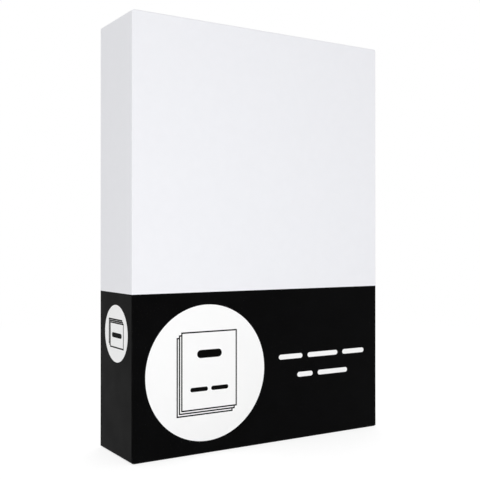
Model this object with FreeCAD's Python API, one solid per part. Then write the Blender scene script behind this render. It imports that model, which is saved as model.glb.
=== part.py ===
"""A sealed ream of office paper, standing on its lower folded end.

Frame: millimetres, +Z up along the sheets' long side, the printed front facing -Y.
The origin lies on the standing plane, under the middle of the ream.
The sealed ream is one solid. Its print is let into the surface as thin fields of colour.
On the front, u runs from its left edge. On the left side, u runs from its back edge.
"""

import FreeCAD, Part
import os

from FreeCAD import Placement, Rotation, Vector

# Paper stack
sheet_width = 210.0
sheet_length = 297.0
sheet_count = 500
sheet_thickness = 0.11

# Wrapper sheet, glued round the stack
wrapper_ply = 0.12
corner_radius = 0.8        # round the stack's four long edges
lap_width = 24.0           # glued overlap on the back
lap_rise = 0.25            # one ply and the glue under it
lap_edge_x = 14.0          # the overlap's cut edge
lap_slope = 1.5            # where the covered edge shows through

# Folded ends
flap_overlap = 30.0        # of the two long flaps
fold_rise = 0.4            # one folded layer, with the air that it holds
fold_radius = 0.5          # bend of the first layer over the stack's end
crease_radius = 0.2        # along the slanted creases

# Print
ink_depth = 0.1
band_height = 111.5
front_disc_margin = 8.65   # to the band's upper and lower edges
front_disc_left = 9.6      # to the front's left edge
side_disc_margin = 8.0     # to the side's edges, but for its shift
side_disc_shift = 1.3      # off the side's middle, towards the front
side_disc_drop = 28.0      # its middle below the band's upper edge

# Drawing of a pile of sheets, on each disc
figure_sheets = 3
line_width = 1.0
front_figure_width = 44.3
front_figure_height = 54.2
front_figure_step = 1.75   # each sheet further down the pile shows this much more, left and down
side_figure_width = 23.5
side_figure_height = 17.8
side_figure_step = 1.15    # left and up

# Rows of plain bars: how many units long each bar is, the length of a unit, and the gap between bars
heading_bars = [2]
heading_unit = 9.8
heading_thickness = 5.6
heading_rise = 11.4        # from the middle of the top sheet
footing_bars = [3, 3]
footing_unit = 4.6
footing_gap = 2.6
footing_thickness = 3.0
footing_drop = 12.8
side_heading_unit = 8.4
side_heading_thickness = 3.4
upper_caption_bars = [3, 4, 3]
lower_caption_bars = [2, 4]
caption_unit = 7.1
caption_gap = 4.8
caption_thickness = 3.6
caption_height = 54.6      # of its middle
caption_leading = 14.0     # from one row to the next

# Sizes worked out from those above
stack_depth = sheet_count * sheet_thickness
half_width = sheet_width / 2 + wrapper_ply
side_width = stack_depth + 2 * wrapper_ply
front_y = -(side_width + lap_rise) / 2      # the lap adds to the depth
back_y = front_y + side_width
flap_length = (side_width + flap_overlap) / 2
front_disc_radius = band_height / 2 - front_disc_margin
front_disc_u = front_disc_left + front_disc_radius
side_disc_radius = side_width / 2 - side_disc_margin
side_disc_u = side_width / 2 + side_disc_shift
side_disc_v = band_height - side_disc_drop
tuck_rise, back_flap_rise, front_flap_rise = fold_rise, 2 * fold_rise, 3 * fold_rise
height = sheet_length + 2 * front_flap_rise


def corner_arc(before, corner, after, radius):
    """A tangent arc in place of a corner."""
    start = corner + (before - corner).normalize() * radius
    end = corner + (after - corner).normalize() * radius
    centre = start + end - corner
    middle = centre + (corner - centre).normalize() * radius
    return Part.Arc(start, middle, end)


def section(inset):
    """Cross-section of the wrapped stack, moved inwards: a rounded box with the lap on its back."""
    left, right = -half_width + inset, half_width - inset
    front, back = front_y + inset, back_y - inset
    lap_left, lap_right = lap_edge_x + inset, lap_edge_x + lap_width
    corners = [Vector(left, front), Vector(right, front), Vector(right, back), Vector(left, back)]
    arcs = [
        corner_arc(corners[i - 1], corner, corners[(i + 1) % len(corners)], corner_radius - inset)
        for i, corner in enumerate(corners)
    ]
    lap = [
        Vector(lap_right + lap_slope, back),
        Vector(lap_right, back + lap_rise),
        Vector(lap_left, back + lap_rise),
        Vector(lap_left, back),
    ]
    edges = []
    for arc, next_arc, between in zip(arcs, arcs[1:] + arcs[:1], [[], [], lap, []]):
        run = [arc.EndPoint] + between + [next_arc.StartPoint]
        edges += [arc.toShape()] + [Part.LineSegment(a, b).toShape() for a, b in zip(run, run[1:])]
    return Part.Face(Part.Wire(edges))


def raised(face, bottom, top):
    """A flat face in the XY plane made into a prism between two heights."""
    face = face.copy()
    face.translate(Vector(0, 0, bottom))
    return face.extrude(Vector(0, 0, top - bottom))


def block(low, high):
    """A box between two corners."""
    size = high - low
    return Part.makeBox(size.x, size.y, size.z, low)


def rolled_slab(half_span, rise):
    """A slab as high as a folded layer, rounded where that layer rolls over the ends' edges along Y."""
    base = front_flap_rise - rise
    reach = half_width + side_width    # well past the stack in y, whichever way it is turned
    slab = block(Vector(-half_span, -reach, base), Vector(half_span, reach, height - base))
    radius = fold_radius + rise - tuck_rise
    return slab.makeFillet(radius, [edge for edge in slab.Edges if edge.BoundBox.YLength > half_width])


def rolled_front_to_back(half_span, rise):
    """The same slab, rolled over the front's and the back's edges."""
    slab = rolled_slab(half_span, rise)
    slab.rotate(Vector(), Vector(0, 0, 1), 90)
    slab.translate(Vector(0, (front_y + back_y) / 2, 0))
    return slab


def long_flap(hinge_y, inwards, rise):
    """One long flap over both ends: a trapezoid whose slanted sides are creases at 45 degrees."""
    free_y = hinge_y + inwards * flap_length
    free_half = half_width - flap_length
    outline = [
        Vector(-half_width, hinge_y),
        Vector(half_width, hinge_y),
        Vector(free_half, free_y),
        Vector(-free_half, free_y),
    ]
    base = front_flap_rise - rise
    flap = raised(Part.Face(Part.makePolygon(outline + outline[:1])), base, height - base)
    boxes = [(edge, edge.BoundBox) for edge in flap.Edges]
    creases = [edge for edge, box in boxes if min(box.XLength, box.YLength) > crease_radius]
    return flap.makeFillet(crease_radius, creases)


def wrapped_stack():
    """The ream before its print: the wrapped stack with both ends folded shut."""
    sleeve = raised(section(0), 0, height)
    half_side = side_width / 2
    body = sleeve.common(rolled_slab(half_width, tuck_rise))
    body = body.common(rolled_front_to_back(half_side, tuck_rise))
    back = long_flap(back_y, -1, back_flap_rise).common(rolled_front_to_back(half_side, back_flap_rise))
    front = long_flap(front_y, 1, front_flap_rise).common(rolled_front_to_back(half_side, front_flap_rise))

    # Over the lap, the back and its flap stand higher.
    lapped_rise = back_flap_rise + lap_rise
    lap = long_flap(back_y + lap_rise, -1, lapped_rise)
    lap = lap.common(rolled_front_to_back(half_side + lap_rise, lapped_rise))
    lap = lap.common(block(
        Vector(lap_edge_x, -side_width, 0),
        Vector(lap_edge_x + lap_width + lap_slope, side_width, height)
    ))
    flaps = [flap.common(sleeve) for flap in (back, lap, front)]
    return body.multiFuse(flaps).removeSplitter()


def disc(u, v, radius):
    """A round plate of ink, its depth along +Y from the printed face."""
    return Part.makeCylinder(radius, ink_depth, Vector(u, 0, v), Vector(0, 1, 0))


def tile(u, v, width, tall):
    """A rectangular plate of ink."""
    return block(Vector(u - width / 2, 0, v - tall / 2), Vector(u + width / 2, ink_depth, v + tall / 2))


def bar(u, v, width, thickness):
    """A plate of ink with round ends."""
    radius = thickness / 2
    straight = width - thickness
    ends = [disc(u - straight / 2, v, radius), disc(u + straight / 2, v, radius)]
    return tile(u, v, straight, thickness).multiFuse(ends).removeSplitter()


def bar_row(u, v, unit_counts, unit, thickness, gap=0.0):
    """A row of bars about a middle, each a number of units long."""
    widths = [units * unit for units in unit_counts]
    left = u - (sum(widths) + gap * (len(widths) - 1)) / 2
    bars = []
    for width in widths:
        bars.append(bar(left + width / 2, v, width, thickness))
        left += width + gap
    return bars


def sheet_pile(u, v, width, tall, step_u, step_v):
    """Outlines of a pile of sheets, each hiding what lies behind it. Returns the top sheet's middle too."""
    top_u = u - step_u * (figure_sheets - 1) / 2
    top_v = v - step_v * (figure_sheets - 1) / 2
    lines, hiding = [], []
    for i in range(figure_sheets):
        middle = (top_u + i * step_u, top_v + i * step_v)
        sheet = tile(*middle, width, tall)
        blank = tile(*middle, width - 2 * line_width, tall - 2 * line_width)
        lines.append(sheet.cut([blank] + hiding))
        hiding.append(sheet)
    return lines[0].multiFuse(lines[1:]).removeSplitter(), top_u, top_v


def front_figure():
    """The drawing on the front's disc."""
    pile, u, v = sheet_pile(
        front_disc_u, band_height / 2,
        front_figure_width, front_figure_height,
        -front_figure_step, -front_figure_step
    )
    heading = bar_row(u, v + heading_rise, heading_bars, heading_unit, heading_thickness)
    footing = bar_row(u, v - footing_drop, footing_bars, footing_unit, footing_thickness, footing_gap)
    return Part.makeCompound([pile] + heading + footing)


def side_figure():
    """The smaller drawing on the side's disc."""
    pile, u, v = sheet_pile(
        side_disc_u, side_disc_v,
        side_figure_width, side_figure_height,
        -side_figure_step, side_figure_step
    )
    heading = bar_row(u, v, heading_bars, side_heading_unit, side_heading_thickness)
    return Part.makeCompound([pile] + heading)


def caption():
    """Two rows of bars, in the middle between the front's disc and its right edge."""
    u = (front_disc_u + front_disc_radius + 2 * half_width) / 2
    rows = [
        (caption_height + caption_leading / 2, upper_caption_bars),
        (caption_height - caption_leading / 2, lower_caption_bars),
    ]
    bars = []
    for v, unit_counts in rows:
        bars += bar_row(u, v, unit_counts, caption_unit, caption_thickness, caption_gap)
    return Part.makeCompound(bars)


def on_front(shape):
    """Moves a drawing to the front face."""
    return shape.transformed(Placement(Vector(-half_width, front_y, 0), Rotation()).Matrix)


def on_side(shape):
    """Moves a drawing to the left side."""
    return shape.transformed(Placement(Vector(-half_width, back_y, 0), Rotation(Vector(0, 0, 1), -90)).Matrix)


def build():
    """Every node, from the print on top down to the wrapped stack, each let into those below it."""
    ream = wrapped_stack()
    band = raised(section(0).cut(section(ink_depth)), 0, band_height)
    layers = {
        "caption_bars": on_front(caption()),
        "front_sheet_figure": on_front(front_figure()),
        "side_sheet_figure": on_side(side_figure()),
        "front_disc": on_front(disc(front_disc_u, band_height / 2, front_disc_radius)),
        "side_disc": on_side(disc(side_disc_u, side_disc_v, side_disc_radius)),
        "black_band": band,
    }
    nodes, above = {}, []
    for name, layer in layers.items():
        layer = layer.common(ream)
        nodes[name] = layer.cut(above) if above else layer
        above.append(layer)
    nodes["wrapped_ream"] = ream.cut(above).removeSplitter()
    return nodes


if __name__ == "__main__":
    os.makedirs("parts", exist_ok=True)
    for name, shape in build().items():
        print(name, "solids", len(shape.Solids), "valid", shape.isValid(), "volume", round(shape.Volume, 3))
        shape.exportStep(f"parts/{name}.step")
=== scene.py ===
"""The looks of a sealed ream of office paper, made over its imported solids.

The wrapper is shown as the paper that it is: a sleeve with a glued overlap down its back, and four flaps
folded over each end. Its print keeps the solids' own thin fields of ink, with new finishes.
"""

from collections import namedtuple
from math import cos, pi, radians, sin, sqrt

import bmesh
import bpy
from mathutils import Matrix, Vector, noise


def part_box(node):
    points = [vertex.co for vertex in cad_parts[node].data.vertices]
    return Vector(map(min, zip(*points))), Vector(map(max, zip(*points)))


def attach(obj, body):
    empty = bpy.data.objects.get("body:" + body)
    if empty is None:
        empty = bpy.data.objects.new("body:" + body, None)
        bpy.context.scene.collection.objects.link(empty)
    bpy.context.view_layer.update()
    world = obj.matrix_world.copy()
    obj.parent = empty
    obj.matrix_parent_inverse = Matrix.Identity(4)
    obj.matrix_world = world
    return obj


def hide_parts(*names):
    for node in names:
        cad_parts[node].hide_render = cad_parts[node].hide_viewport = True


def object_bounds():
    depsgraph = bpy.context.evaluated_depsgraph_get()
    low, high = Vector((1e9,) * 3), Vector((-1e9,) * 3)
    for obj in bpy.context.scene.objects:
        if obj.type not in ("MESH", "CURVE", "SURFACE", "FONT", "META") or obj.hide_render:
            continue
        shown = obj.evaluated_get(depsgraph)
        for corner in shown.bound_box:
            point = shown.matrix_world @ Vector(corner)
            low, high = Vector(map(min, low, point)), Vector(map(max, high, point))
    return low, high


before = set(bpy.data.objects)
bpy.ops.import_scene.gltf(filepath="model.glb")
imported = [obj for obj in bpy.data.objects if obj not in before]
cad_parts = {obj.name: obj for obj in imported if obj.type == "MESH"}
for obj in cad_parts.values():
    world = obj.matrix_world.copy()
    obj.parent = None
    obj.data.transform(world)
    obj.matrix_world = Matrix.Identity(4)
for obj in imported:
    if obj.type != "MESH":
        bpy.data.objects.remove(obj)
cad_box = [list(corner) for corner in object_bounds()]

mm = 0.001
up = Vector((0, 0, 1))

# The wrapper sheet, with a glued overlap on the back
ply = 0.12 * mm
corner_radius = 0.8 * mm
lap_height = 0.25 * mm        # one ply and the glue under it
lap_edge_x = 14 * mm          # the overlap's cut edge
lap_cut_width = 0.02 * mm
lap_far_x = 38 * mm           # where the covered edge lies under it
lap_slope = 1.5 * mm

# The folded ends
tuck_radius = 0.5 * mm
back_flap_radius = 0.9 * mm
front_flap_radius = 1.3 * mm
flap_overlap = 30 * mm
tuck_inset = 0.3 * mm         # clear of the long flaps' rolls
tuck_length = 40 * mm
hem_radius = 0.13 * mm        # outside of a crease
hem_width = 3 * mm            # paper folded under along a crease
closed_end_rise = 0.36 * mm   # the stack's closed end above the first bend, and its rounding

# How the glued flaps lie
settling = {"front": 0.25 * mm, "back": 0.22 * mm}    # behind the creases
lapped_settling = 0.5         # the share of it left where the front flap lies over the overlap
valley_depth = 0.25 * mm      # where the front flap bridges to the back flap
puff_height = 0.06 * mm
puff_size = 16 * mm
bend_strain = 0.4             # of the rolled edges, where a sharp crease has 1

# Fineness of the meshes
roll_steps = 6
row_step = 2 * mm
column_step = 3 * mm
crease_shares = (0.15, 0.4, 1, 1.4, 1.9, 2.4, 3)      # of a hem's width, where the mesh follows a crease

# What tells the points, edges and faces of a mesh apart
same_place = 0.001 * mm       # what lies nearer than this counts as in one place
smooth_below = radians(35)    # flatter edges than this shade softly
cut_depth = 0.02 * mm         # faces this near a flap's free edge are cut paper
cut_facing = 0.9              # where they turn this much towards it, of 1

# Noise in the finishes: each pair is where a pattern starts to show and where it shows in full
cloud_range = (0.3, 0.7)
swell_range = (0.3, 0.7)
pinhole_range = (0.72, 0.8)
rub_range = (0.45, 0.7)
crack_and_shade_range = (0.4, 0.6)
least_crack_and_shade = 0.2             # the share of a fold's wear, and on white paper its painted shade, that shows all along it
fibre_stretch = (1, 1, 0.35)  # draws the fibres out upwards

# Wear, painted shade along the paper's folds, roughness and relief of the paper and its ink
paper_rub_reach = 1.5 * mm    # from the pack's edges
ink_rub_reach = 0.9 * mm
paper_rub = 0.25              # how much of the rubbing and of the folds' marks shows: painted shade on white paper, cracks in ink
ink_rub = 0.5
# painted shade: white paper is darkened by this share along its folds and rolled edges
paper_fold_shade = 0.8
ink_fold_wear = 0.12
worn_and_fold_shade_tone = 0.93              # darker tone of rubbed edges and of the painted shade along folds, of the paper's own colour
bare_paper = (0.72, 0.71, 0.69)
paper_roughness_swing = 0.03
ink_roughness_swing = 0.04
paper_relief = 0.12           # strengths of the fibres' relief, and its depth under ink
ink_relief = 0.08
ink_relief_depth = 0.02 * mm

# Floor, light and camera
floor_radius = 8
floor_tone = 0.8
shadow_near = 0.25            # the floor takes its shadow in full up to here
shadow_far = 0.9              # from here out it is plain white
shadow_share = 0.4            # how much of the floor's look is lit where it takes the shadow
light_on_floor = 0.55         # what falls there, for which its glow makes room
room_strength = 0.775
camera_place = (-0.3157, -0.5033, 0.1456)
camera_tilt = radians(90.2)
camera_turn = radians(-31.71)
camera_lens = 59.0

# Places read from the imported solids
low, high = (Vector(corner) for corner in cad_box)
half_width = high.x
front_y = low.y
back_y = high.y - lap_height
height = high.z
band_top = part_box("black_band")[1].z
ink_low, ink_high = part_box("front_disc")

# Sizes worked out from those above
side_width = back_y - front_y
middle_y = (front_y + back_y) / 2
ink_depth = ink_high.y - ink_low.y
bend_level = height - front_flap_radius               # where the flaps start to bend
flap_reach = (side_width + flap_overlap) / 2          # of each long flap over the end
corner_inset = corner_radius * (1 - sqrt(0.5))        # how far in a rounded corner's middle lies
lap_lines = [lap_edge_x, lap_edge_x + lap_cut_width, lap_far_x, lap_far_x + lap_slope]
crease_lines = [share * hem_width for share in crease_shares]

# The upright walls: the way each faces, how far out it is, half its width, and whether its flaps are long
Wall = namedtuple("Wall", "outwards distance half_width long_flap")
walls = {
    "front": Wall(Vector((0, -1, 0)), -front_y, half_width, True),
    "back": Wall(Vector((0, 1, 0)), back_y, half_width, True),
    "left": Wall(Vector((-1, 0, 0)), half_width, side_width / 2, False),
    "right": Wall(Vector((1, 0, 0)), half_width, side_width / 2, False),
}

# The flaps over an end, from the first folded to the last: wall, radius of the roll, and reach over the end
flaps = {
    "left_tuck": ("left", tuck_radius, tuck_length),
    "right_tuck": ("right", tuck_radius, tuck_length),
    "back_flap": ("back", back_flap_radius, flap_reach),
    "front_flap": ("front", front_flap_radius, flap_reach),
}


# Modelling

def smooth_step(value, start, end):
    """0 up to start, 1 from end on, and an even slope between them."""
    share = min(max((value - start) / (end - start), 0), 1)
    return share * share * (3 - 2 * share)


def cut(bm, place, direction, **cleared):
    """Cuts a mesh through by a plane."""
    geom = bm.verts[:] + bm.edges[:] + bm.faces[:]
    bmesh.ops.bisect_plane(bm, geom=geom, dist=1e-8, plane_co=place, plane_no=direction, **cleared)


def round_off(bm, edges, radius, segments):
    """Rounds edges."""
    bmesh.ops.bevel(
        bm, geom=edges, affect="EDGES", offset=radius, offset_type="OFFSET",
        segments=segments, profile=0.5, material=-1, clamp_overlap=False,
    )


def new_object(bm, name, materials):
    """An object at the origin with a mesh and its materials."""
    mesh = bpy.data.meshes.new(name)
    bm.to_mesh(mesh)
    bm.free()
    for material in materials:
        mesh.materials.append(material)
    made = bpy.data.objects.new(name, mesh)
    bpy.context.scene.collection.objects.link(made)
    return made


def finish_piece(bm, name, materials):
    """A piece of the wrapper, with soft shading inside each smooth run and flat panels kept flat."""
    for face in bm.faces:
        face.smooth = True
    for edge in bm.edges:
        edge.smooth = edge.calc_face_angle(pi) < smooth_below
    piece = new_object(bm, name, materials)
    weighting = piece.modifiers.new("flat_panels", "WEIGHTED_NORMAL")
    weighting.keep_sharp = True
    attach(piece, "root")
    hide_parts("wrapped_ream")


def rise(edge):
    """The height between an edge's two ends."""
    return abs(edge.verts[0].co.z - edge.verts[1].co.z)


def lap_lift(x):
    """How far the overlap lifts the back's surface at x."""
    cut_edge = min(max((x - lap_edge_x) / lap_cut_width, 0), 1)
    covered_edge = min(max((lap_far_x + lap_slope - x) / lap_slope, 0), 1)
    return lap_height * min(cut_edge, covered_edge)


def make_sleeve(paper, print_black):
    """The sheet round the stack: four walls with rounded edges, closed under the folded ends."""
    bm = bmesh.new()
    bmesh.ops.create_cube(bm, size=1)
    top = bend_level + closed_end_rise
    bmesh.ops.scale(bm, vec=(2 * half_width, side_width, 2 * top - height), verts=bm.verts)
    bmesh.ops.translate(bm, vec=(0, middle_y, height / 2), verts=bm.verts)

    upright = [edge for edge in bm.edges if rise(edge) > corner_radius]
    round_off(bm, upright, corner_radius, roll_steps)
    level = [edge for edge in bm.edges if rise(edge) < same_place]
    round_off(bm, level, closed_end_rise, roll_steps // 2)

    # The overlap on the back
    for x in lap_lines:
        cut(bm, (x, 0, 0), (1, 0, 0))
    for vert in bm.verts:
        if vert.co.y > back_y - ply / 2:
            vert.co.y += lap_lift(vert.co.x)

    # The printed part lies deeper, behind the ink
    step_foot = band_top - ink_depth / 2
    for z in (band_top, step_foot):
        cut(bm, (0, 0, z), (0, 0, 1))
    for vert in bm.verts:
        if vert.co.z < step_foot + same_place:
            core_x = min(max(vert.co.x, corner_radius - half_width), half_width - corner_radius)
            core_y = min(max(vert.co.y, front_y + corner_radius), back_y - corner_radius)
            outwards = vert.co - Vector((core_x, core_y, vert.co.z))
            if outwards.length > 0:
                vert.co -= outwards.normalized() * ink_depth
    for face in bm.faces:
        face.material_index = int(face.calc_center_median().z < band_top)
    finish_piece(bm, "wrapper_sleeve", [paper, print_black])


def make_flap(name, wall, radius, reach, paper, core, lower):
    """One flap over an end: laid out flat, creased and hemmed, given its thickness, then folded over."""
    long_flap = walls[wall].long_flap
    half_start = walls[wall].half_width - (corner_inset if long_flap else tuck_inset)
    roll = radius * pi / 2
    length = reach + roll - radius

    bm = lay_out_flat(half_start, roll, length)
    if wall == "back":
        for x in lap_lines:
            cut(bm, (-x, 0, 0), (1, 0, 0))
    if long_flap:
        crease(bm, half_start, length)
    thicken(bm, length)
    fold_over(bm, wall, radius, half_start, roll)
    if lower:
        for vert in bm.verts:
            vert.co.z = height - vert.co.z
        bmesh.ops.reverse_faces(bm, faces=bm.faces)
    finish_piece(bm, name, [paper, core])


def lay_out_flat(half_start, roll, length):
    """A flat sheet: x along the hinge, y away from it, with close rows where it will roll over the edge."""
    rows = [roll * i / roll_steps for i in range(roll_steps)]
    flat_rows = round((length - roll) / row_step)
    rows += [roll + (length - roll) * i / flat_rows for i in range(flat_rows + 1)]
    bm = bmesh.new()
    columns = round(2 * half_start / column_step)
    bmesh.ops.create_grid(bm, x_segments=columns, y_segments=len(rows) - 1, size=0.5)
    for vert in bm.verts:
        vert.co.x *= 2 * half_start
        vert.co.y = rows[round((vert.co.y + 0.5) * (len(rows) - 1))]
    return bm


def crease(bm, half_start, length):
    """Gives a long flap its slanted creases, with the paper folded under along them."""
    for side in (-1, 1):
        for border in crease_lines:
            cut(bm, (side * (half_start - border * sqrt(2)), 0, 0), (side, 1, 0))
        hem(bm, side, half_start)
    cut(bm, (0, 0, 0), (0, 1, 0), clear_inner=True)
    cut(bm, (0, length, 0), (0, 1, 0), clear_outer=True)


def hem(bm, side, half_start):
    """Trims a flat flap along its crease at 45 degrees and folds a strip of paper under there."""
    place = Vector((side * half_start, 0, 0))
    outwards = Vector((side, 1, 0)).normalized()
    along_crease = Vector((-side, 1, 0)).normalized()
    cut(bm, place, outwards, clear_outer=True)
    verts = [vert for vert in bm.verts if abs((vert.co - place).dot(outwards)) < same_place]
    edges = [edge for edge in bm.edges if edge.is_boundary and all(vert in verts for vert in edge.verts)]
    turned = bmesh.ops.spin(
        bm, geom=edges + verts, cent=place - hem_radius * up, axis=along_crease,
        angle=side * pi, steps=roll_steps, use_merge=False, use_duplicate=False,
    )
    edges = [item for item in turned["geom_last"] if isinstance(item, bmesh.types.BMEdge)]
    under = bmesh.ops.extrude_edge_only(bm, edges=edges)
    verts = [item for item in under["geom"] if isinstance(item, bmesh.types.BMVert)]
    bmesh.ops.translate(bm, vec=-outwards * hem_width, verts=verts)


def thicken(bm, length):
    """Gives a flat flap the paper's thickness under its outer side, and its free edge the cut paper."""
    bmesh.ops.recalc_face_normals(bm, faces=bm.faces)
    bm.normal_update()
    if sum(face.normal.z * face.calc_area() for face in bm.faces) < 0:
        bmesh.ops.reverse_faces(bm, faces=bm.faces)
        bm.normal_update()
    bmesh.ops.solidify(bm, geom=bm.faces[:], thickness=ply)
    bm.normal_update()
    for face in bm.faces:
        at_free_edge = face.calc_center_median().y > length - cut_depth
        face.material_index = int(at_free_edge and abs(face.normal.y) > cut_facing)


def fold_over(bm, wall, radius, half_start, roll):
    """Bends a flat flap over the upper end, and notes how strained the paper is."""
    outwards, distance, wall_half_width, long_flap = walls[wall]
    along = up.cross(outwards)
    hinge = outwards * distance + Vector((0, 0 if long_flap else middle_y, bend_level))
    strain = bm.verts.layers.float.new("fold_strain")
    for vert in bm.verts:
        across, away, off = vert.co
        border = (half_start - abs(across) - away) / sqrt(2)
        past_roll = away - roll
        off += unevenness(wall, along.x * across, across, away, border, past_roll)
        turn = min(away / radius, pi / 2)
        vert[strain] = bend_strain * sin(2 * turn)
        if long_flap:
            vert[strain] = max(vert[strain], 1 - smooth_step(border, 0, crease_lines[1]))
        past_corner = max(abs(across) - wall_half_width + corner_radius, 0)
        round_corner = corner_radius - sqrt(corner_radius ** 2 - past_corner ** 2)
        inwards = radius - (radius + off) * cos(turn) + max(past_roll, 0) + round_corner
        lift = (radius + off) * sin(turn)
        vert.co = hinge + along * across - outwards * inwards + up * lift


def unevenness(wall, x, across, away, border, past_roll):
    """How far off its even place a glued flap lies: x is where on the ream, and border is from its crease."""
    lying = smooth_step(past_roll, 0, 2 * row_step)
    puff = noise.noise(Vector((across, away, walls[wall].distance)) / puff_size)
    off = (puff - 1) / 2 * puff_height * lying
    if wall in settling:
        settled = settling[wall] * smooth_step(border, hem_width, 3 * hem_width) * lying
        if wall == "front":
            from_lap = abs(x - (lap_edge_x + lap_far_x) / 2) - (lap_far_x - lap_edge_x) / 2
            settled *= lapped_settling + (1 - lapped_settling) * smooth_step(from_lap, 0, 2 * hem_width)
        off -= settled
    if wall == "front":
        bridge = min(max(past_roll / (side_width - flap_reach), 0), 1)
        off -= valley_depth * sin(pi * bridge) ** 2 * smooth_step(border, 0, hem_width)
    if wall == "back":
        off += lap_lift(x)
    return off


# Nodes of a material

def fill(tree, socket, value):
    """Gives a socket a link, a colour or a number."""
    if isinstance(value, bpy.types.NodeSocket):
        tree.links.new(value, socket)
    elif socket.type == "RGBA":
        socket.default_value = (*value, 1)
    else:
        socket.default_value = value


def node(tree, kind, settings=None, **inputs):
    """A new node with its settings and its named inputs."""
    made = tree.nodes.new(kind)
    for setting, value in (settings or {}).items():
        setattr(made, setting, value)
    for label, value in inputs.items():
        fill(tree, made.inputs[label.replace("_", " ")], value)
    return made


def compute(tree, operation, *values, kind="ShaderNodeMath"):
    """The result of a sum on numbers, or of one on vectors."""
    made = node(tree, kind, {"operation": operation})
    for socket, value in zip(made.inputs, values):
        fill(tree, socket, value)
    return made.outputs[0]


def stretched(tree, value, given, wanted=(0, 1)):
    """A value stretched from the given range to the wanted one."""
    made = node(
        tree, "ShaderNodeMapRange", Value=value,
        From_Min=given[0], From_Max=given[1], To_Min=wanted[0], To_Max=wanted[1],
    )
    return made.outputs["Result"]


def mixed(tree, share, first, second):
    """Two colours mixed by a mask."""
    made = node(tree, "ShaderNodeMix", {"data_type": "RGBA"}, Factor=share)
    colour_sockets = [socket for socket in made.inputs if socket.type == "RGBA"]
    for socket, colour in zip(colour_sockets, (first, second)):
        fill(tree, socket, colour)
    return next(socket for socket in made.outputs if socket.type == "RGBA")


def object_place(tree):
    """The point on the object."""
    return node(tree, "ShaderNodeTexCoord").outputs["Object"]


def speckle(tree, place, scale, detail, roughness=0.5):
    """Smooth noise from 0 to 1."""
    made = node(tree, "ShaderNodeTexNoise", Vector=place, Scale=scale, Detail=detail, Roughness=roughness)
    return made.outputs["Fac"]


def embossed(tree, relief, strength, depth):
    """The surface's normal over a fine relief."""
    return node(tree, "ShaderNodeBump", Strength=strength, Distance=depth, Height=relief).outputs["Normal"]


# Effects that several finishes share

def new_group(name, inputs, outputs):
    """A shader node group with its number sockets, and the sockets inside it for what goes in and out."""
    group = bpy.data.node_groups.new(name, "ShaderNodeTree")
    for label, value in inputs.items():
        socket = group.interface.new_socket(label, in_out="INPUT", socket_type="NodeSocketFloat")
        socket.default_value = value
    for label in outputs:
        group.interface.new_socket(label, in_out="OUTPUT", socket_type="NodeSocketFloat")
    given = group.nodes.new("NodeGroupInput").outputs
    result = group.nodes.new("NodeGroupOutput").inputs
    return group, given, result


def paper_grain_group():
    """Cloudy formation of a sheet of paper, and its fine fibres."""
    group, given, result = new_group("paper_grain", {"Clouds": 250, "Fibres": 1800}, ["Cloud", "Relief"])
    place = object_place(group)
    drawn_out = compute(group, "MULTIPLY", place, fibre_stretch, kind="ShaderNodeVectorMath")
    cloud = speckle(group, place, given["Clouds"], detail=3, roughness=0.55)
    fibre = speckle(group, drawn_out, given["Fibres"], detail=2, roughness=0.6)
    fill(group, result["Cloud"], stretched(group, cloud, cloud_range))
    fill(group, result["Relief"], fibre)
    return group


def ink_cover_group():
    """How evenly the ink covers: slow changes of density and rare pinholes."""
    group, given, result = new_group("ink_cover", {"Swells": 60, "Pinholes": 1400}, ["Density", "Bare"])
    place = object_place(group)
    swell = speckle(group, place, given["Swells"], detail=2)
    speck = speckle(group, place, given["Pinholes"], detail=1)
    fill(group, result["Density"], stretched(group, swell, swell_range))
    fill(group, result["Bare"], stretched(group, speck, pinhole_range))
    return group


def edge_rub_group():
    """Light rubbing along the pack's twelve edges, broken up by noise."""
    group, given, result = new_group("edge_rub", {"Reach": paper_rub_reach, "Patches": 90}, ["Rub"])
    place = object_place(group)
    centred = compute(group, "SUBTRACT", place, (0, middle_y, height / 2), kind="ShaderNodeVectorMath")
    axes = node(group, "ShaderNodeSeparateXYZ", Vector=centred).outputs
    gaps = [
        compute(group, "SUBTRACT", half, compute(group, "ABSOLUTE", axes[axis]))
        for axis, half in (("X", half_width), ("Y", side_width / 2), ("Z", height / 2))
    ]
    # On a face one gap is nearly nothing, so the two smallest together tell how near an edge is
    largest = compute(group, "MAXIMUM", compute(group, "MAXIMUM", gaps[0], gaps[1]), gaps[2])
    total = compute(group, "ADD", compute(group, "ADD", gaps[0], gaps[1]), gaps[2])
    from_edge = compute(group, "SUBTRACT", total, largest)
    near = compute(group, "SUBTRACT", 1, compute(group, "DIVIDE", from_edge, given["Reach"]))
    patches = stretched(group, speckle(group, place, given["Patches"], detail=4), rub_range)
    fill(group, result["Rub"], compute(group, "MULTIPLY", compute(group, "MAXIMUM", near, 0), patches))
    return group


def fold_wear_and_shade_group():
    """Strained fibres along the folds and rolled edges, broken up by fine noise: cracks in ink, and painted
    shade on white paper.
    """
    group, given, result = new_group("fold_wear_and_shade", {"Cracks": 900}, ["Wear"])
    strained = node(group, "ShaderNodeAttribute", {"attribute_name": "fold_strain"}).outputs["Fac"]
    crack = speckle(group, object_place(group), given["Cracks"], detail=2)
    broken = stretched(group, crack, crack_and_shade_range, (least_crack_and_shade, 1))
    fill(group, result["Wear"], compute(group, "MULTIPLY", strained, broken))
    return group


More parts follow.
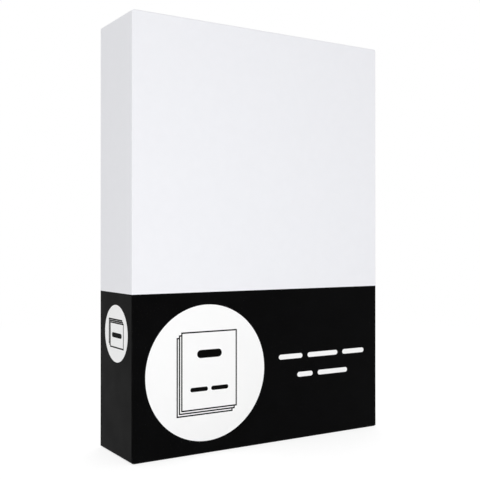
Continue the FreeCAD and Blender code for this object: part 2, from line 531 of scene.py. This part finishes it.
def raw_edge_group():
    """The thin line of bare paper along the overlap's cut edge, on the back and on its flaps."""
    inputs = {"Edge X": lap_edge_x, "Behind Y": front_y + flap_reach, "Half Width": ply}
    group, given, result = new_group("raw_edge", inputs, ["Bare"])
    axes = node(group, "ShaderNodeSeparateXYZ", Vector=object_place(group)).outputs
    off_line = compute(group, "ABSOLUTE", compute(group, "SUBTRACT", axes["X"], given["Edge X"]))
    on_line = compute(group, "LESS_THAN", off_line, given["Half Width"])
    at_back = compute(group, "GREATER_THAN", axes["Y"], given["Behind Y"])
    fill(group, result["Bare"], compute(group, "MULTIPLY", on_line, at_back))
    return group


def placed(tree, name, **inputs):
    """A shared effect placed in a material with its own values."""
    return node(tree, "ShaderNodeGroup", {"node_tree": groups[name]}, **inputs).outputs


# Finishes

def grey(level):
    """An even grey."""
    return (level, level, level)


def new_material(name):
    """A material with a Principled shader on its output."""
    material = bpy.data.materials.new(name)
    material.use_nodes = True
    return material, material.node_tree, material.node_tree.nodes["Principled BSDF"]


def set_surface(tree, shader, colour, roughness, shine, normal):
    """Gives a shader its colour, roughness, shine and normal."""
    fill(tree, shader.inputs["Base Color"], colour)
    fill(tree, shader.inputs["Roughness"], roughness)
    fill(tree, shader.inputs["Specular IOR Level"], shine)
    fill(tree, shader.inputs["Normal"], normal)


def paper_material(name, clear, cloudy, clouds, roughness, shine, relief_depth):
    """Paper: two close tones in soft clouds, rubbing along edges, painted shade along folds and rolled edges,
    and a fine fibrous relief.
    """
    material, tree, shader = new_material(name)
    grain = placed(tree, "paper_grain", Clouds=clouds)
    tone = mixed(tree, grain["Cloud"], cloudy, clear)
    rubbed = compute(tree, "MULTIPLY", placed(tree, "edge_rub")["Rub"], paper_rub)
    # painted shade: the paper darkens along its folds and rolled edges
    fold_shade = compute(tree, "MULTIPLY", placed(tree, "fold_wear_and_shade")["Wear"], paper_fold_shade)
    wear_and_fold_shade = compute(tree, "MAXIMUM", rubbed, fold_shade)
    worn_and_fold_shaded = mixed(tree, wear_and_fold_shade, tone, [worn_and_fold_shade_tone * part for part in cloudy])
    swing = (roughness - paper_roughness_swing, roughness + paper_roughness_swing)
    set_surface(
        tree, shader, colour=worn_and_fold_shaded, roughness=stretched(tree, grain["Cloud"], (0, 1), swing), shine=shine,
        normal=embossed(tree, grain["Relief"], paper_relief, relief_depth),
    )
    return material


def ink_material(name, dense, thin, pinhole, roughness, shine, folded=False):
    """Printed ink: a dense colour that thins a little in places, with pinholes and rubbed edges."""
    material, tree, shader = new_material(name)
    cover = placed(tree, "ink_cover")
    rubbed = compute(tree, "MULTIPLY", placed(tree, "edge_rub", Reach=ink_rub_reach)["Rub"], ink_rub)
    bare = compute(tree, "MAXIMUM", cover["Bare"], rubbed)
    ink = mixed(tree, bare, mixed(tree, cover["Density"], thin, dense), pinhole)
    if folded:
        cracked = compute(tree, "MULTIPLY", placed(tree, "fold_wear_and_shade")["Wear"], ink_fold_wear)
        ink = mixed(tree, cracked, ink, bare_paper)
        ink = mixed(tree, placed(tree, "raw_edge")["Bare"], ink, bare_paper)
    swing = (roughness + ink_roughness_swing, roughness - ink_roughness_swing)
    set_surface(
        tree, shader, colour=ink, roughness=stretched(tree, cover["Density"], (0, 1), swing), shine=shine,
        normal=embossed(tree, placed(tree, "paper_grain")["Relief"], ink_relief, ink_relief_depth),
    )
    return material


groups = {
    "paper_grain": paper_grain_group(),
    "ink_cover": ink_cover_group(),
    "edge_rub": edge_rub_group(),
    "fold_wear_and_shade": fold_wear_and_shade_group(),
    "raw_edge": raw_edge_group(),
}

wrapper_white = paper_material(
    "wrapper_white", clear=(0.866, 0.871, 0.905), cloudy=(0.855, 0.860, 0.894),
    clouds=160, roughness=0.45, shine=0.5, relief_depth=0.03 * mm,
)
cut_paper = paper_material(
    "cut_paper", clear=(0.82, 0.81, 0.78), cloudy=(0.76, 0.75, 0.72),
    clouds=600, roughness=0.8, shine=0.2, relief_depth=0.05 * mm,
)
band_black = ink_material(
    "band_black", dense=(0.0006, 0.0006, 0.0007), thin=(0.0014, 0.0014, 0.0016), pinhole=grey(0.02),
    roughness=0.5, shine=0.03, folded=True,
)
line_black = ink_material(
    "line_black", dense=grey(0.0012), thin=grey(0.003), pinhole=grey(0.02), roughness=0.5, shine=0.02
)
unprinted_white = ink_material(
    "unprinted_white", dense=grey(0.96), thin=grey(0.95), pinhole=grey(0.9), roughness=0.45, shine=0.4
)
caption_white = ink_material(
    "caption_white", dense=grey(0.95), thin=grey(0.93), pinhole=grey(0.85), roughness=0.45, shine=0.4
)

print_finishes = {
    "black_band": band_black,
    "front_disc": unprinted_white,
    "side_disc": unprinted_white,
    "front_sheet_figure": line_black,
    "side_sheet_figure": line_black,
    "caption_bars": caption_white,
}
for name, finish in print_finishes.items():
    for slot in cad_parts[name].material_slots:
        slot.material = finish

make_sleeve(wrapper_white, band_black)
for end, paper in (("upper", wrapper_white), ("lower", band_black)):
    for name, (wall, radius, reach) in flaps.items():
        make_flap(f"{end}_{name}", wall, radius, reach, paper, cut_paper, lower=end == "lower")


# Floor, light and camera

def show(tree, output_kind, lighting, seen):
    """Shows one shader to the camera, in mirrors and through glass, and lights the ream by the other."""
    rays = node(tree, "ShaderNodeLightPath").outputs
    plainly = compute(tree, "MAXIMUM", rays["Is Camera Ray"], rays["Is Glossy Ray"])
    plainly = compute(tree, "MAXIMUM", plainly, rays["Is Transmission Ray"])
    choice = node(tree, "ShaderNodeMixShader", Fac=plainly)
    fill(tree, choice.inputs[1], lighting.outputs[0])
    fill(tree, choice.inputs[2], seen.outputs[0])
    node(tree, output_kind, Surface=choice.outputs[0])


def floor_material():
    """Plain white from afar, and lit near the ream so that it takes a soft shadow."""
    material = bpy.data.materials.new("floor_white")
    material.use_nodes = True
    tree = material.node_tree
    tree.nodes.clear()
    afar = node(tree, "ShaderNodeVectorMath", {"operation": "LENGTH"}, Vector=object_place(tree))
    shaded = node(
        tree, "ShaderNodeMapRange", {"interpolation_type": "SMOOTHSTEP"}, Value=afar.outputs["Value"],
        From_Min=shadow_near, From_Max=shadow_far, To_Min=shadow_share, To_Max=0,
    ).outputs["Result"]
    lit = node(tree, "ShaderNodeBsdfDiffuse", Color=compute(tree, "MULTIPLY", shaded, floor_tone))
    made_room = compute(tree, "SUBTRACT", 1, compute(tree, "MULTIPLY", shaded, light_on_floor))
    glow = node(tree, "ShaderNodeEmission", Color=grey(1), Strength=made_room)
    seen = node(tree, "ShaderNodeAddShader")
    fill(tree, seen.inputs[0], lit.outputs[0])
    fill(tree, seen.inputs[1], glow.outputs[0])
    bounce = node(tree, "ShaderNodeBsdfDiffuse", Color=grey(floor_tone))
    show(tree, "ShaderNodeOutputMaterial", bounce, seen)
    return material


def make_floor():
    """A wide plain floor under the ream."""
    bm = bmesh.new()
    bmesh.ops.create_circle(bm, cap_ends=True, segments=96, radius=floor_radius)
    new_object(bm, "floor", [floor_material()])


def make_room_light():
    """An even pale room, which shows as plain white behind the ream."""
    world = bpy.data.worlds.new("room")
    bpy.context.scene.world = world
    world.use_nodes = True
    tree = world.node_tree
    tree.nodes.clear()
    room = node(tree, "ShaderNodeBackground", Color=grey(1), Strength=room_strength)
    backdrop = node(tree, "ShaderNodeBackground", Color=grey(1), Strength=1)
    show(tree, "ShaderNodeOutputWorld", room, backdrop)


def make_lamp(name, place, target, size, power):
    """A large soft lamp aimed at a point, and kept out of the picture and its reflections."""
    light = bpy.data.lights.new(name, "AREA")
    light.shape = "RECTANGLE"
    light.size, light.size_y = size
    light.energy = power
    lamp = bpy.data.objects.new(name, light)
    lamp.location = place
    lamp.rotation_euler = (Vector(target) - Vector(place)).to_track_quat("-Z", "Y").to_euler()
    lamp.visible_camera = False
    lamp.visible_glossy = False
    bpy.context.scene.collection.objects.link(lamp)


def make_camera():
    """The photograph's view: level, from the front's left."""
    lens = bpy.data.cameras.new("photo_camera")
    lens.lens = camera_lens
    lens.clip_start = 10 * mm
    camera = bpy.data.objects.new("photo_camera", lens)
    camera.location = camera_place
    camera.rotation_euler = (camera_tilt, 0, camera_turn)
    bpy.context.scene.collection.objects.link(camera)
    bpy.context.scene.camera = camera


make_floor()
make_room_light()
make_lamp("front_lamp", place=(-0.2, -1.0, 0.2), target=(0, 0, 0.15), size=(1.1, 0.3), power=1.4)
make_lamp("low_lamp", place=(-0.26, -0.5, 0.05), target=(0, 0, 0.08), size=(0.4, 0.08), power=0.5)
make_lamp("rear_lamp", place=(0.9, 1.2, 0.8), target=(0, 0, 0.15), size=(1.2, 1.2), power=9.0)
make_camera()
bpy.context.scene.view_settings.view_transform = "Standard"
